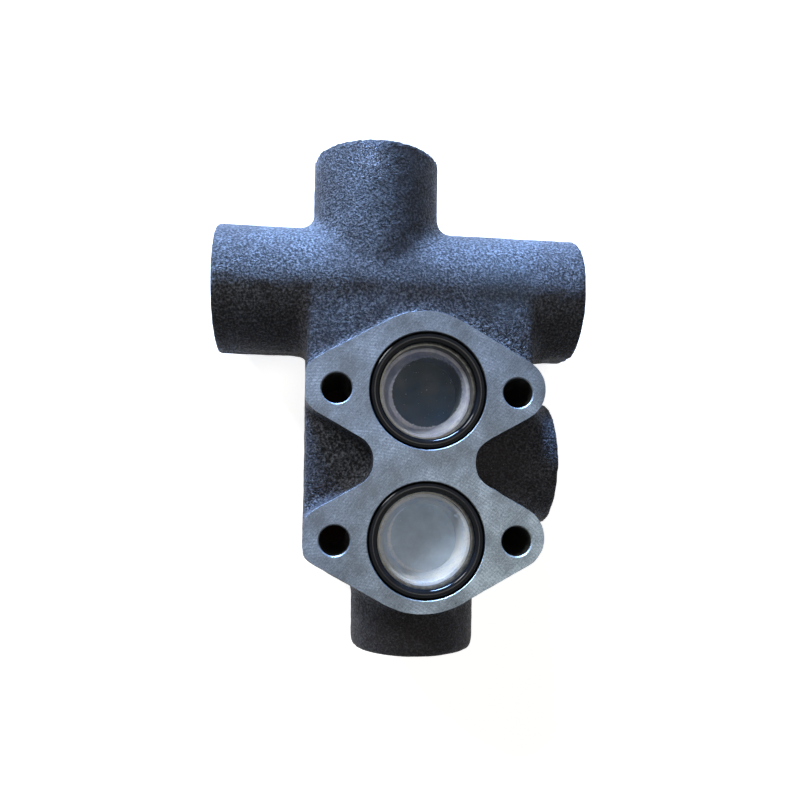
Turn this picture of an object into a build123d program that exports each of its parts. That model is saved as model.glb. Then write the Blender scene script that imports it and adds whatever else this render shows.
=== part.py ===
from build123d import *
import math
import os

# Relief valve block: a cast-iron body with a machined two-port mounting face, four open or
# plugged boss ends, a sprung relief poppet in the top boss and a check valve in the right boss.
# Frame: origin at the centre of the four bolt holes on the machined face, +Z out of that face,
# +Y towards the relief boss, +X towards the check boss. All sizes are in millimetres.

# Machined mounting face
port_spacing = 50.8
bolt_span_x = 61.9
bolt_hole_radius = 5.15
port_bore_radius = 15.875
port_bore_depth = 20.0
bolt_hole_chamfer = 0.4
spotface_radius = 8.6
spotface_depth = 0.8

# Face seals and their recesses
face_seal_section = 3.53
face_seal_inner_radius = 16.46
seal_recess_radius = 20.1
seal_recess_depth = 3.6

# Raised pad round the two ports; the casting sits a little off the drilled holes
cast_shift_x = -0.93
cast_shift_y = 1.15
pad_height = 9.0
pad_draft_angle = 6.0
lobe_radius = 25.9
ear_radius = 10.3
waist_half_width = 17.25
waist_fillet = 4.6
pad_sink = 0.5

# Cast block behind the pad
core_z = -32.0
block_back_z = -56.0
block_draft_angle = 1.5
block_margin = 2.0
block_trim = 10.0
block_left_x = -42.2
block_right_x = 40.3
block_edge_fillet = 3.0

# Cast bosses, all with their axes in the parting plane at core_z
arm_y = 64.5
arm_radius = 23.5
arm_left_x = -74.4
arm_right_x = 58.3
relief_boss_x = -16.85
relief_boss_inset = 0.3
relief_boss_end_y = 113.7
outlet_boss_x = -1.1
outlet_boss_radius = 22.7
outlet_boss_end_y = -67.0
check_boss_y = 2.1
check_boss_radius = 22.8
check_boss_end_x = 48.5
boss_edge_fillet = 2.2
cross_fillet = 6.0
arm_root_fillet = 4.0

# Open threaded ports, bored at the thread's tap drill size
port_thread_radius = 15.6
port_thread_depth = 20.0
port_mouth_radius = 17.3
gallery_radius = 12.7
chamber_radius = 11.0
chamber_floor_z = -42.0
cross_passage_radius = 9.0

# Threaded plugs in the relief boss and the check boss share one fitting size
plug_thread_radius = 16.0
plug_head_radius = 19.0
plug_head_height = 4.0
plug_head_recess = 0.5
plug_neck_radius = 15.2
gland_outer_radius = 18.0
gland_depth = 2.5
plug_hex_width = 22.0
plug_edge_chamfer = 0.7
plug_pocket_gap = 0.4

# Both valve seats and poppet noses
seat_cone_height = 1.5
nose_tip_height = 1.0
nose_land_height = 1.5
nose_root_height = 1.5

# Relief cartridge: stations along the boss, and radii about its axis
feed_radius = 6.5
relief_seat_radius = 9.5
relief_seat_bottom_y = 43.0
relief_seat_top_y = 50.0
relief_seat_bore_radius = 6.0
relief_annulus_radius = 16.0
sleeve_radius = 12.05
sleeve_waist_radius = 10.8
sleeve_step = 1.0
sleeve_bore_radius = 9.05
sleeve_collar_radius = 15.4
sleeve_collar_height = 3.5
sleeve_window_radius = 3.8
sleeve_window_count = 4
relief_counterbore_y = 89.0
poppet_neck_radius = 5.6
poppet_guide_bottom_y = 61.5
poppet_guide_top_y = 72.0
poppet_spigot_radius = 4.4
poppet_spigot_height = 3.0
spigot_chamfer = 1.0
relief_spring_wire = 2.3
relief_spring_mean_radius = 6.7
relief_spring_turns = 4.5
shim_thickness = 1.0
shim_radius = 8.6
shim_bore_radius = 5.0
spring_seat_height = 4.0
spring_seat_spigot_height = 3.0
bonnet_hex_depth = 6.0
bonnet_cavity_radius = 9.5
bonnet_cavity_height = 3.0
screw_shank_radius = 5.0
screw_shank_length = 6.8
screw_thread_radius = 4.0
screw_end_recess = 0.8
screw_hex_width = 4.0
screw_hex_depth = 4.0
screw_chamfer = 0.7
adjuster_seal_section = 1.7
adjuster_seal_height = 5.0
seal_side_gap = 0.2
shank_end_gap = 1.2
lock_nut_width = 13.0
lock_nut_height = 4.5
lock_nut_chamfer = 0.9

# Check valve: stations along the boss, and radii about its axis
check_seat_radius = 10.5
check_seat_bore_radius = 6.5
check_seat_back_x = 3.0
check_seat_face_x = 9.0
check_chamber_radius = 13.5
check_counterbore_x = 26.0
check_plug_end_x = 28.0
check_guide_radius = 9.05
check_guide_wall = 3.2
check_guide_start_x = 21.0
check_guide_floor_x = 33.0
check_poppet_neck_radius = 7.0
check_poppet_skirt_x = 13.4
check_poppet_end_x = 27.0
check_poppet_bore_radius = 6.6
check_poppet_floor_x = 15.0
check_spring_wire = 1.4
check_spring_mean_radius = 5.2
check_spring_turns = 7.5
check_spring_end_x = 38.0
check_hex_depth = 8.0
check_inlet_x = -6.0
check_inlet_radius = 8.0
check_outlet_x = 16.0
check_outlet_radius = 7.0

# Moulded shipping plugs in the face ports
cup_rim_gap = 0.06
cup_wall = 1.1
cup_depth = 8.5
cup_floor_radius = 12.2
cup_rim_width = 1.2
cup_bead_height = 1.9
cup_bead_step = 0.5
lower_cup_rim_z = -5.2
upper_cup_rim_z = -8.6

# Clearances
slip_gap = 0.03
running_gap = 0.05
seat_gap = 0.05
spring_gap = 0.02

# Places worked out from the sizes above
port_y = port_spacing / 2
relief_boss_radius = arm_radius - relief_boss_inset
bolt_x = bolt_span_x / 2
pad_z = -pad_height
relief_plug_floor_y = relief_boss_end_y - plug_head_recess - plug_head_height
check_plug_floor_x = check_boss_end_x - plug_head_recess - plug_head_height
relief_spring_top_y = relief_counterbore_y - shim_thickness
bonnet_end_y = relief_counterbore_y + sleeve_collar_height
spring_seat_top_y = relief_counterbore_y + spring_seat_height
bonnet_cavity_top_y = bonnet_end_y + bonnet_cavity_height
shank_top_y = spring_seat_top_y + screw_shank_length
bonnet_hex_floor_y = relief_boss_end_y - plug_head_recess - bonnet_hex_depth

relief_axis = Plane(origin=(relief_boss_x, 0, core_z), x_dir=(1, 0, 0), z_dir=(0, 1, 0))
check_axis = Plane(origin=(0, check_boss_y, core_z), x_dir=(0, 1, 0), z_dir=(1, 0, 0))


# A round bar between two stations of an axis that is given as a plane
def bar(axis, radius, start, end):
    return axis * Pos(0, 0, (start + end) / 2) * Cylinder(radius, end - start)


# A solid of revolution from (radius, station) points about an axis that is given as a plane
def turned(axis, points):
    profile = make_face(Polyline(*[(radius, 0, station) for radius, station in points], close=True))
    return axis * revolve(profile, Axis.Z, 360)


# Axes of the horizontal and vertical bosses and of the face ports; each starts its turn at the back
# or the side, so that no seam crosses a cast fillet twice
def along_x(y):
    return Plane(origin=(0, y, core_z), x_dir=(0, 0, -1), z_dir=(1, 0, 0))


def along_y(x):
    return Plane(origin=(x, 0, core_z), x_dir=(1, 0, 0), z_dir=(0, 1, 0))


def along_z(x, y):
    return Plane(origin=(x, y, 0), x_dir=(1, 0, 0), z_dir=(0, 0, 1))


def ring(axis, mean_radius, section, station):
    return axis * Pos(0, 0, station) * Torus(mean_radius, section / 2)


def coil_spring(axis, mean_radius, wire, turns, start, end):
    pitch_length = end - start - wire
    path = Helix(pitch=pitch_length / turns, height=pitch_length, radius=mean_radius)
    section = Plane(origin=path @ 0, z_dir=path % 0) * Circle(wire / 2)
    return axis * Pos(0, 0, start + wire / 2) * sweep(section, path, is_frenet=True)


# Centre radius, inset from the head and section radius of the ring that a plug's gland holds
def gland_ring():
    width = gland_outer_radius - plug_neck_radius
    depth = gland_depth * width / (gland_outer_radius - plug_thread_radius)
    radius = (width + depth - math.hypot(width, depth)) / 2
    return plug_neck_radius + radius, radius, radius - slip_gap


def hex_prism(axis, width, start, end):
    return axis * Pos(0, 0, start) * extrude(RegularPolygon(width / 2, 6, major_radius=False), end - start)


# One diamond of the pad: a lobe round a port, joined by tangents to an ear at each bolt hole.
# The margin makes the lobe and the ears that much larger.
def diamond(y, margin=0.0):
    lobe = lobe_radius + margin
    ear = ear_radius + margin
    touch = math.acos((lobe - ear) / bolt_x)
    turn = math.degrees(touch)
    lobe_touch = (lobe * math.cos(touch), lobe * math.sin(touch))
    ear_touch = (bolt_x + ear * math.cos(touch), ear * math.sin(touch))
    tangents = [
        Line((side_x * lobe_touch[0], side_y * lobe_touch[1]), (side_x * ear_touch[0], side_y * ear_touch[1]))
        for side_x in (-1, 1) for side_y in (-1, 1)
    ]
    arcs = [
        CenterArc((bolt_x, 0), ear, -turn, 2 * turn),
        CenterArc((-bolt_x, 0), ear, 180 - turn, 2 * turn),
        CenterArc((0, 0), lobe, turn, 180 - 2 * turn),
        CenterArc((0, 0), lobe, 180 + turn, 180 - 2 * turn),
    ]
    return Pos(cast_shift_x, y + cast_shift_y) * make_face(tangents + arcs)


def pad_outline(margin=0.0):
    half_width = waist_half_width + margin
    outline = diamond(port_y, margin) + diamond(-port_y, margin)
    waist_height = port_spacing - 2 * ear_radius - waist_half_width
    outline += Pos(cast_shift_x, cast_shift_y) * Rectangle(2 * half_width, waist_height)
    corners = [
        corner for corner in outline.vertices() if abs(abs(corner.X - cast_shift_x) - half_width) < 0.1
    ]
    return fillet(corners, waist_fillet - margin)


# The block's outline follows the pad, with its upper end and its left side filled out square
def block_outline():
    upper_width = block_right_x - block_left_x
    upper_height = arm_y - port_y - cast_shift_y
    left_width = outlet_boss_x - block_left_x
    upper = Rectangle(upper_width, upper_height)
    left = Rectangle(left_width, port_spacing)
    upper = Pos(block_left_x + upper_width / 2, arm_y - upper_height / 2) * upper
    outline = pad_outline(block_margin) + upper
    return outline + Pos(block_left_x + left_width / 2, cast_shift_y) * left


# Half of the block, from the parting plane to a face at z, with its walls drafted to that face. The
# prism is drafted at its rough length and then trimmed flat. The back face is rounded all round, and
# the front face only along its two free sides.
def block_half(z):
    parting = Plane.XY.offset(core_z)
    outward = math.copysign(1, z - core_z)
    half = parting * extrude(block_outline(), z - core_z + outward * block_trim, dir=(0, 0, 1))
    walls = [face for face in half.faces() if abs(face.normal_at().Z) < 0.5]
    half = draft(walls, parting, outward * block_draft_angle)
    half = split(half, Plane.XY.offset(z), keep=Keep.TOP if z < core_z else Keep.BOTTOM)
    face = max(half.faces(), key=lambda candidate: abs(candidate.center().Z - core_z))
    if z < core_z:
        return fillet(face.edges(), block_edge_fillet)
    sides = [edge for edge in face.edges() if abs(edge.tangent_at(0.5).Y) > 0.99]
    return fillet([edge for edge in sides if edge.length > waist_half_width], block_edge_fillet)


def cast_boss(axis, radius, start, end, rounded):
    boss = bar(axis, radius, start, end)
    rims = [edge for edge in boss.edges() if edge.geom_type == GeomType.CIRCLE]
    rims = sorted(rims, key=lambda rim: axis.to_local_coords(rim.center()).Z)
    picked = {"start": rims[:1], "end": rims[-1:], "both": rims}[rounded]
    return fillet(picked, boss_edge_fillet)


def casting():
    arm = cast_boss(along_x(arm_y), arm_radius, arm_left_x, arm_right_x, "both")
    relief_boss = cast_boss(relief_axis, relief_boss_radius, arm_y, relief_boss_end_y, "end")
    shell = arm + relief_boss
    saddle = [edge for edge in shell.edges() if edge.geom_type not in (GeomType.CIRCLE, GeomType.LINE)]
    shell = fillet(saddle, cross_fillet)
    shell += block_half(pad_z) + block_half(block_back_z)
    roots = [
        edge for edge in shell.edges() if edge.geom_type == GeomType.ELLIPSE and edge.length > arm_radius / 2
    ]
    shell = fillet(roots, arm_root_fillet)
    shell += cast_boss(along_y(outlet_boss_x), outlet_boss_radius, outlet_boss_end_y, 0, "start")
    shell += cast_boss(check_axis, check_boss_radius, 0, check_boss_end_x, "end")
    pad = extrude(pad_outline(), pad_height + pad_sink, dir=(0, 0, -1), taper=-pad_draft_angle)
    return shell + pad


# Head pocket, gland and threaded bore for a plug, opening along the axis
def plug_cavity(axis, boss_end, floor, bore_end):
    return turned(axis, [
        (0, bore_end),
        (plug_thread_radius, bore_end),
        (plug_thread_radius, floor - gland_depth),
        (gland_outer_radius, floor),
        (plug_head_radius + plug_pocket_gap, floor),
        (plug_head_radius + plug_pocket_gap, boss_end + 1),
        (0, boss_end + 1),
    ])


# A threaded port with its mouth chamfer; sign is the direction in which it opens
def open_port(axis, boss_end, sign):
    mouth = (port_mouth_radius - port_thread_radius) * sign
    return turned(axis, [
        (0, boss_end - sign * port_thread_depth),
        (port_thread_radius, boss_end - sign * port_thread_depth),
        (port_thread_radius, boss_end - mouth),
        (port_mouth_radius, boss_end),
        (port_mouth_radius, boss_end + sign),
        (0, boss_end + sign),
    ])


# A face port's seal recess and bore, and the cored chamber under it
def face_port(y):
    axis = along_z(0, y)
    bore = bar(axis, port_bore_radius, -port_bore_depth, 1)
    bore += bar(axis, chamber_radius, chamber_floor_z, -port_bore_depth + 1)
    return bore + bar(axis, seal_recess_radius, -seal_recess_depth, 1)


def bolt_hole(x, y):
    axis = along_z(x, y)
    hole = bar(axis, bolt_hole_radius, block_back_z - 1, 1)
    hole += bar(axis, spotface_radius, block_back_z - 1, block_back_z + spotface_depth)
    return hole + turned(axis, [
        (0, -bolt_hole_chamfer),
        (bolt_hole_radius, -bolt_hole_chamfer),
        (bolt_hole_radius + bolt_hole_chamfer, 0),
        (bolt_hole_radius + bolt_hole_chamfer, 1),
        (0, 1),
    ])


def relief_passages():
    cross = bar(along_x(port_y), cross_passage_radius, relief_boss_x - feed_radius, 0)
    feed = bar(relief_axis, feed_radius, port_y, relief_seat_bottom_y + 1)
    pocket = bar(relief_axis, relief_seat_radius, relief_seat_bottom_y, relief_seat_top_y + 1)
    annulus_top = arm_y + gallery_radius
    annulus = bar(relief_axis, relief_annulus_radius, arm_y - gallery_radius, annulus_top)
    guide = bar(relief_axis, sleeve_radius, relief_seat_top_y, relief_counterbore_y + 1)
    cavity = plug_cavity(relief_axis, relief_boss_end_y, relief_plug_floor_y, relief_counterbore_y)
    return cross + feed + pocket + annulus + guide + cavity


def check_passages():
    inlet = bar(along_y(check_inlet_x), check_inlet_radius, check_boss_y, port_y)
    nose = bar(check_axis, check_seat_bore_radius, check_inlet_x, check_seat_back_x + 1)
    pocket = bar(check_axis, check_seat_radius, check_seat_back_x, check_seat_face_x + 1)
    chamber = bar(check_axis, check_chamber_radius, check_seat_face_x, check_counterbore_x + 1)
    outlet = bar(along_y(check_outlet_x), check_outlet_radius, -port_y, check_boss_y)
    outlet += bar(along_x(-port_y), check_outlet_radius, 0, check_outlet_x + check_outlet_radius)
    cavity = plug_cavity(check_axis, check_boss_end_x, check_plug_floor_x, check_counterbore_x)
    return inlet + nose + pocket + chamber + outlet + cavity


def valve_body():
    body = casting()
    tank_axis = along_x(arm_y)
    outlet_axis = along_y(outlet_boss_x)
    body -= bar(tank_axis, gallery_radius, arm_left_x + 1, arm_right_x - 1)
    body -= open_port(tank_axis, arm_left_x, -1) + open_port(tank_axis, arm_right_x, 1)
    body -= bar(outlet_axis, gallery_radius, outlet_boss_end_y + 1, -port_y)
    body -= open_port(outlet_axis, outlet_boss_end_y, -1)
    body -= relief_passages()
    body -= check_passages()
    for y in (-port_y, port_y):
        body -= face_port(y)
        for x in (-bolt_x, bolt_x):
            body -= bolt_hole(x, y)
    return body


def face_seal(y):
    section_radius = face_seal_section / 2
    centre_z = slip_gap - seal_recess_depth + section_radius
    return ring(along_z(0, y), face_seal_inner_radius + section_radius, face_seal_section, centre_z)


# A thin-walled moulded cup that closes a face port, open side out
def shipping_plug(y, rim_z):
    rim_radius = port_bore_radius - cup_rim_gap
    floor_z = rim_z - cup_depth
    return turned(along_z(0, y), [
        (0, floor_z - cup_wall),
        (cup_floor_radius + cup_wall, floor_z - cup_wall),
        (rim_radius - cup_bead_step, rim_z - cup_bead_height - cup_bead_step),
        (rim_radius, rim_z - cup_bead_height),
        (rim_radius, rim_z),
        (rim_radius - cup_rim_width, rim_z),
        (cup_floor_radius, floor_z),
        (0, floor_z),
    ])


# A plug's turned outside: head, relieved neck over the seal and threaded shank
def plug_blank(axis, floor, end):
    top = floor + plug_head_height
    shank_radius = plug_thread_radius - slip_gap
    return turned(axis, [
        (0, end),
        (shank_radius - plug_edge_chamfer, end),
        (shank_radius, end + plug_edge_chamfer),
        (shank_radius, floor - 2 * gland_depth),
        (plug_neck_radius, floor - 2 * gland_depth + plug_thread_radius - plug_neck_radius),
        (plug_neck_radius, floor),
        (plug_head_radius, floor),
        (plug_head_radius, top - plug_edge_chamfer),
        (plug_head_radius - plug_edge_chamfer, top),
        (0, top),
    ])


def plug_seal(axis, floor):
    radius, inset, section_radius = gland_ring()
    return ring(axis, radius, 2 * section_radius, floor - inset)


# A valve seat: a ring with a conical face at its outer end, station given as bottom and top
def seat_ring(axis, outer_radius, bore_radius, bottom, top):
    return turned(axis, [
        (bore_radius, bottom),
        (outer_radius - slip_gap, bottom),
        (outer_radius - slip_gap, top),
        (bore_radius + seat_cone_height, top),
        (bore_radius, top - seat_cone_height),
    ])


# Nose points of a poppet that closes a seat ring, from its flat tip to the neck below its skirt
def poppet_nose(bore_radius, top, neck_radius, skirt_start):
    offset_radius = seat_gap * math.sqrt(2)
    tip = seat_cone_height + nose_tip_height
    land_end = top + nose_land_height
    wide = bore_radius + seat_cone_height - offset_radius
    return [
        (0, top - tip),
        (wide - tip, top - tip),
        (wide, top),
        (wide, land_end),
        (neck_radius, land_end + wide - neck_radius),
        (neck_radius, skirt_start - nose_root_height),
    ]


def relief_poppet():
    guide_radius = sleeve_bore_radius - running_gap
    bore_radius = relief_seat_bore_radius
    nose = poppet_nose(bore_radius, relief_seat_top_y, poppet_neck_radius, poppet_guide_bottom_y)
    return turned(relief_axis, nose + [
        (guide_radius, poppet_guide_bottom_y),
        (guide_radius, poppet_guide_top_y),
        (poppet_spigot_radius, poppet_guide_top_y),
        (poppet_spigot_radius, poppet_guide_top_y + poppet_spigot_height - spigot_chamfer),
        (poppet_spigot_radius - spigot_chamfer, poppet_guide_top_y + poppet_spigot_height),
        (0, poppet_guide_top_y + poppet_spigot_height),
    ])


def relief_sleeve():
    outer_radius = sleeve_radius - slip_gap
    waist_bottom_y = arm_y - gallery_radius + sleeve_step
    waist_top_y = arm_y + gallery_radius
    sleeve = turned(relief_axis, [
        (sleeve_bore_radius, relief_seat_top_y),
        (outer_radius, relief_seat_top_y),
        (outer_radius, waist_bottom_y - sleeve_step),
        (sleeve_waist_radius, waist_bottom_y),
        (sleeve_waist_radius, waist_top_y),
        (outer_radius, waist_top_y + sleeve_step),
        (outer_radius, relief_counterbore_y),
        (sleeve_collar_radius, relief_counterbore_y),
        (sleeve_collar_radius, relief_counterbore_y + sleeve_collar_height),
        (sleeve_bore_radius, relief_counterbore_y + sleeve_collar_height),
    ])
    window_y = waist_bottom_y + sleeve_window_radius + sleeve_step
    window = Pos(0, 0, sleeve_radius) * Cylinder(sleeve_window_radius, sleeve_radius)
    for step in range(sleeve_window_count):
        turn = 360 / sleeve_window_count * (step + 0.5)
        sleeve -= Pos(relief_boss_x, window_y, core_z) * Rot(0, turn, 0) * window
    return sleeve


def relief_spring():
    start = poppet_guide_top_y + spring_gap
    end = relief_spring_top_y - spring_gap
    return coil_spring(
        relief_axis, relief_spring_mean_radius, relief_spring_wire, relief_spring_turns, start, end
    )


def spring_shim():
    shim = bar(relief_axis, shim_radius, relief_spring_top_y, relief_counterbore_y)
    return shim - bar(relief_axis, shim_bore_radius, relief_spring_top_y - 1, relief_counterbore_y + 1)


def relief_spring_seat():
    guide_radius = sleeve_bore_radius - running_gap
    spigot_radius = shim_bore_radius - running_gap
    spigot_end_y = relief_counterbore_y - spring_seat_spigot_height
    return turned(relief_axis, [
        (0, spigot_end_y),
        (spigot_radius - spigot_chamfer, spigot_end_y),
        (spigot_radius, spigot_end_y + spigot_chamfer),
        (spigot_radius, relief_counterbore_y),
        (guide_radius, relief_counterbore_y),
        (guide_radius, spring_seat_top_y - spigot_chamfer),
        (guide_radius - spigot_chamfer, spring_seat_top_y),
        (0, spring_seat_top_y),
    ])


def relief_bonnet():
    blank = plug_blank(relief_axis, relief_plug_floor_y, bonnet_end_y)
    top = relief_plug_floor_y + plug_head_height
    seal_y = spring_seat_top_y + adjuster_seal_height
    groove_radius = screw_shank_radius + adjuster_seal_section
    groove_half = adjuster_seal_section / 2 + seal_side_gap
    blank -= bar(relief_axis, bonnet_cavity_radius, bonnet_end_y - 1, bonnet_cavity_top_y)
    blank -= bar(relief_axis, screw_shank_radius + running_gap, bonnet_end_y, shank_top_y + shank_end_gap)
    blank -= bar(relief_axis, groove_radius + slip_gap, seal_y - groove_half, seal_y + groove_half)
    blank -= bar(relief_axis, screw_thread_radius + running_gap, bonnet_end_y, top)
    return blank - hex_prism(relief_axis, plug_hex_width, bonnet_hex_floor_y, top + 1)


def adjusting_screw():
    end_y = relief_boss_end_y - plug_head_recess - screw_end_recess
    screw = turned(relief_axis, [
        (0, spring_seat_top_y),
        (screw_shank_radius - screw_chamfer, spring_seat_top_y),
        (screw_shank_radius, spring_seat_top_y + screw_chamfer),
        (screw_shank_radius, shank_top_y),
        (screw_thread_radius, shank_top_y),
        (screw_thread_radius, end_y - screw_chamfer),
        (screw_thread_radius - screw_chamfer, end_y),
        (0, end_y),
    ])
    return screw - hex_prism(relief_axis, screw_hex_width, end_y - screw_hex_depth, end_y + 1)


def adjuster_seal():
    mean_radius = screw_shank_radius + adjuster_seal_section / 2
    section = adjuster_seal_section - slip_gap
    return ring(relief_axis, mean_radius + slip_gap / 2, section, spring_seat_top_y + adjuster_seal_height)


def lock_nut():
    bottom = bonnet_hex_floor_y
    top = bottom + lock_nut_height
    corner_radius = lock_nut_width / math.sqrt(3)
    blank = turned(relief_axis, [
        (0, bottom),
        (corner_radius, bottom),
        (corner_radius, top - lock_nut_chamfer / 2),
        (corner_radius - lock_nut_chamfer, top),
        (0, top),
    ])
    nut = blank & hex_prism(relief_axis, lock_nut_width, bottom, top)
    return nut - bar(relief_axis, screw_thread_radius + running_gap, bottom - 1, top + 1)


def check_poppet():
    guide_radius = check_guide_radius - running_gap
    bore_radius = check_seat_bore_radius
    nose = poppet_nose(bore_radius, check_seat_face_x, check_poppet_neck_radius, check_poppet_skirt_x)
    return turned(check_axis, nose + [
        (guide_radius, check_poppet_skirt_x),
        (guide_radius, check_poppet_end_x),
        (check_poppet_bore_radius, check_poppet_end_x),
        (check_poppet_bore_radius, check_poppet_floor_x),
        (0, check_poppet_floor_x),
    ])


def check_spring():
    start = check_poppet_floor_x + spring_gap
    end = check_spring_end_x - spring_gap
    return coil_spring(
        check_axis, check_spring_mean_radius, check_spring_wire, check_spring_turns, start, end
    )


def check_plug():
    blank = plug_blank(check_axis, check_plug_floor_x, check_plug_end_x)
    top = check_plug_floor_x + plug_head_height
    blank += bar(check_axis, check_guide_radius + check_guide_wall, check_guide_start_x, check_plug_end_x + 1)
    blank -= bar(check_axis, check_guide_radius, check_guide_start_x - 1, check_guide_floor_x)
    blank -= bar(check_axis, check_poppet_bore_radius, check_guide_floor_x - 1, check_spring_end_x)
    return blank - hex_prism(check_axis, plug_hex_width, top - check_hex_depth, top + 1)


os.makedirs("parts", exist_ok=True)
nodes = {
    "valve_body": valve_body(),
    "upper_face_seal": face_seal(port_y),
    "lower_face_seal": face_seal(-port_y),
    "upper_shipping_plug": shipping_plug(port_y, upper_cup_rim_z),
    "lower_shipping_plug": shipping_plug(-port_y, lower_cup_rim_z),
    "relief_seat": seat_ring(
        relief_axis, relief_seat_radius, relief_seat_bore_radius, relief_seat_bottom_y, relief_seat_top_y
    ),
    "relief_poppet": relief_poppet(),
    "relief_spring": relief_spring(),
    "spring_shim": spring_shim(),
    "relief_spring_seat": relief_spring_seat(),
    "relief_sleeve": relief_sleeve(),
    "relief_bonnet": relief_bonnet(),
    "relief_bonnet_seal": plug_seal(relief_axis, relief_plug_floor_y),
    "adjusting_screw": adjusting_screw(),
    "adjuster_seal": adjuster_seal(),
    "adjuster_lock_nut": lock_nut(),
    "check_seat": seat_ring(
        check_axis, check_seat_radius, check_seat_bore_radius, check_seat_back_x, check_seat_face_x
    ),
    "check_poppet": check_poppet(),
    "check_spring": check_spring(),
    "check_plug": check_plug(),
    "check_plug_seal": plug_seal(check_axis, check_plug_floor_x),
}
for name, piece in nodes.items():
    export_step(piece, f"parts/{name}.step")
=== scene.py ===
import math

import bpy
from mathutils import Matrix, Vector


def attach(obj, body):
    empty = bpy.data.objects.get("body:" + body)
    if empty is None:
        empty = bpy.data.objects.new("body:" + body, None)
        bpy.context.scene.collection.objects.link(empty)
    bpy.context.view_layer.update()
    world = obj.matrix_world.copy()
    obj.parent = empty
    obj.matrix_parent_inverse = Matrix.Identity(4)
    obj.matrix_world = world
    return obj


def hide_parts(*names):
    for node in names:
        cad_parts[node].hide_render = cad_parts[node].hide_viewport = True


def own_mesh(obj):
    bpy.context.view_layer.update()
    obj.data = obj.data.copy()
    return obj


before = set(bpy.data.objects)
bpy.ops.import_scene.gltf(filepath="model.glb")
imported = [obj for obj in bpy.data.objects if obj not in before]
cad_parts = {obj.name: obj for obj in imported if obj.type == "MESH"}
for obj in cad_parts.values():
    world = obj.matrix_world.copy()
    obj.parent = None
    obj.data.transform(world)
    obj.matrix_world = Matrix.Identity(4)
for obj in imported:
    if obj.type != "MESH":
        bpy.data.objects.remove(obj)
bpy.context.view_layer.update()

mm = 0.001
tiny = 1e-5        # metres; places nearer than this count as one
coreZ = -32.0      # all boss axes lie in the casting's parting plane
portY = 25.4       # face ports, up and down from the middle of the bolt pattern
boltX = 30.95      # bolt holes, left and right of it and level with the ports
portSpots = [(0, y) for y in (-portY, portY)]
boltSpots = [(x, y) for x in (-boltX, boltX) for y in (-portY, portY)]


# Material helpers

def linearColour(hexText):
    parts = [int(hexText[i:i + 2], 16) / 255 for i in (0, 2, 4)]
    linear = [c / 12.92 if c <= 0.04045 else ((c + 0.055) / 1.055) ** 2.4 for c in parts]
    return (*linear, 1.0)


# Adds a node and gives back its outputs. An input that is a socket is linked, any other is set;
# the stops are a colour ramp's places and hex colours
def addNode(tree, kind, inputs, stops=(), **settings):
    node = tree.nodes.new("ShaderNode" + kind)
    for name, value in settings.items():
        setattr(node, name, value)
    for key, value in inputs.items():
        if isinstance(value, bpy.types.NodeSocket):
            tree.links.new(value, node.inputs[key])
        else:
            node.inputs[key].default_value = value
    for i, (place, hexText) in enumerate(stops):
        elements = node.color_ramp.elements
        element = elements[i] if i < len(elements) else elements.new(place)
        element.position = place
        element.color = linearColour(hexText)
    return node.outputs


# A new material, its empty tree and its Object coordinates
def startMaterial(name):
    material = bpy.data.materials.new(name)
    material.use_nodes = True
    tree = material.node_tree
    tree.nodes.clear()
    return material, tree, addNode(tree, "TexCoord", {})["Object"]


# Modelling helpers

def deselectAll():
    if bpy.context.object and bpy.context.object.mode != "OBJECT":
        bpy.ops.object.mode_set(mode="OBJECT")
    bpy.ops.object.select_all(action="DESELECT")


def activate(obj):
    deselectAll()
    obj.select_set(True)
    bpy.context.view_layer.objects.active = obj


def settle(obj):
    activate(obj)
    bpy.ops.object.transform_apply(location=True, rotation=True, scale=True)
    return obj


def pickVertices(obj, test):
    for vertex in obj.data.vertices:
        vertex.select = False
    for edge in obj.data.edges:
        edge.select = False
    for face in obj.data.polygons:
        face.select = False
    for vertex in obj.data.vertices:
        vertex.select = test(vertex)


def pickEdges(obj, test):
    pickVertices(obj, lambda vertex: False)
    spots = obj.data.vertices
    for edge in obj.data.edges:
        a, b = (spots[i].co for i in edge.vertices)
        if test(a, b):
            edge.select = True
            for i in edge.vertices:
                spots[i].select = True


def inEditMode(obj, selectMode, action, everything=False):
    activate(obj)
    bpy.ops.object.mode_set(mode="EDIT")
    bpy.ops.mesh.select_mode(type=selectMode)
    if everything:
        bpy.ops.mesh.select_all(action="SELECT")
    action()
    bpy.ops.object.mode_set(mode="OBJECT")


def applyModifier(obj, kind, **settings):
    activate(obj)
    modifier = obj.modifiers.new(kind.lower(), kind)
    for name, value in settings.items():
        setattr(modifier, name, value)
    bpy.ops.object.modifier_apply(modifier=modifier.name)


turnOf = {"X": (0, math.pi / 2, 0), "Y": (-math.pi / 2, 0, 0), "Z": (0, 0, 0)}
alongOf = {"X": Vector((1, 0, 0)), "Y": Vector((0, 1, 0)), "Z": Vector((0, 0, 1))}


# A round bar or cone from one station of an axis to another; the spot gives the other two places
def addBar(axis, spot, start, end, radius, endRadius=None, sides=96, startRound=0):
    along = alongOf[axis]
    base = Vector(spot) - along * Vector(spot).dot(along)
    middle = base + along * ((start + end) / 2)
    deselectAll()
    bpy.ops.mesh.primitive_cone_add(
        vertices=sides, radius1=radius * mm, radius2=(endRadius or radius) * mm,
        depth=(end - start) * mm, location=middle * mm, rotation=turnOf[axis])
    bar = settle(bpy.context.object)
    if startRound:
        flat = start * mm
        pickEdges(bar, lambda a, b: max(abs(point.dot(along) - flat) for point in (a, b)) < tiny)
        inEditMode(bar, "EDGE", lambda: bpy.ops.mesh.bevel(
            offset=startRound * mm, segments=5, affect="EDGES"))
    return bar


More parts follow.
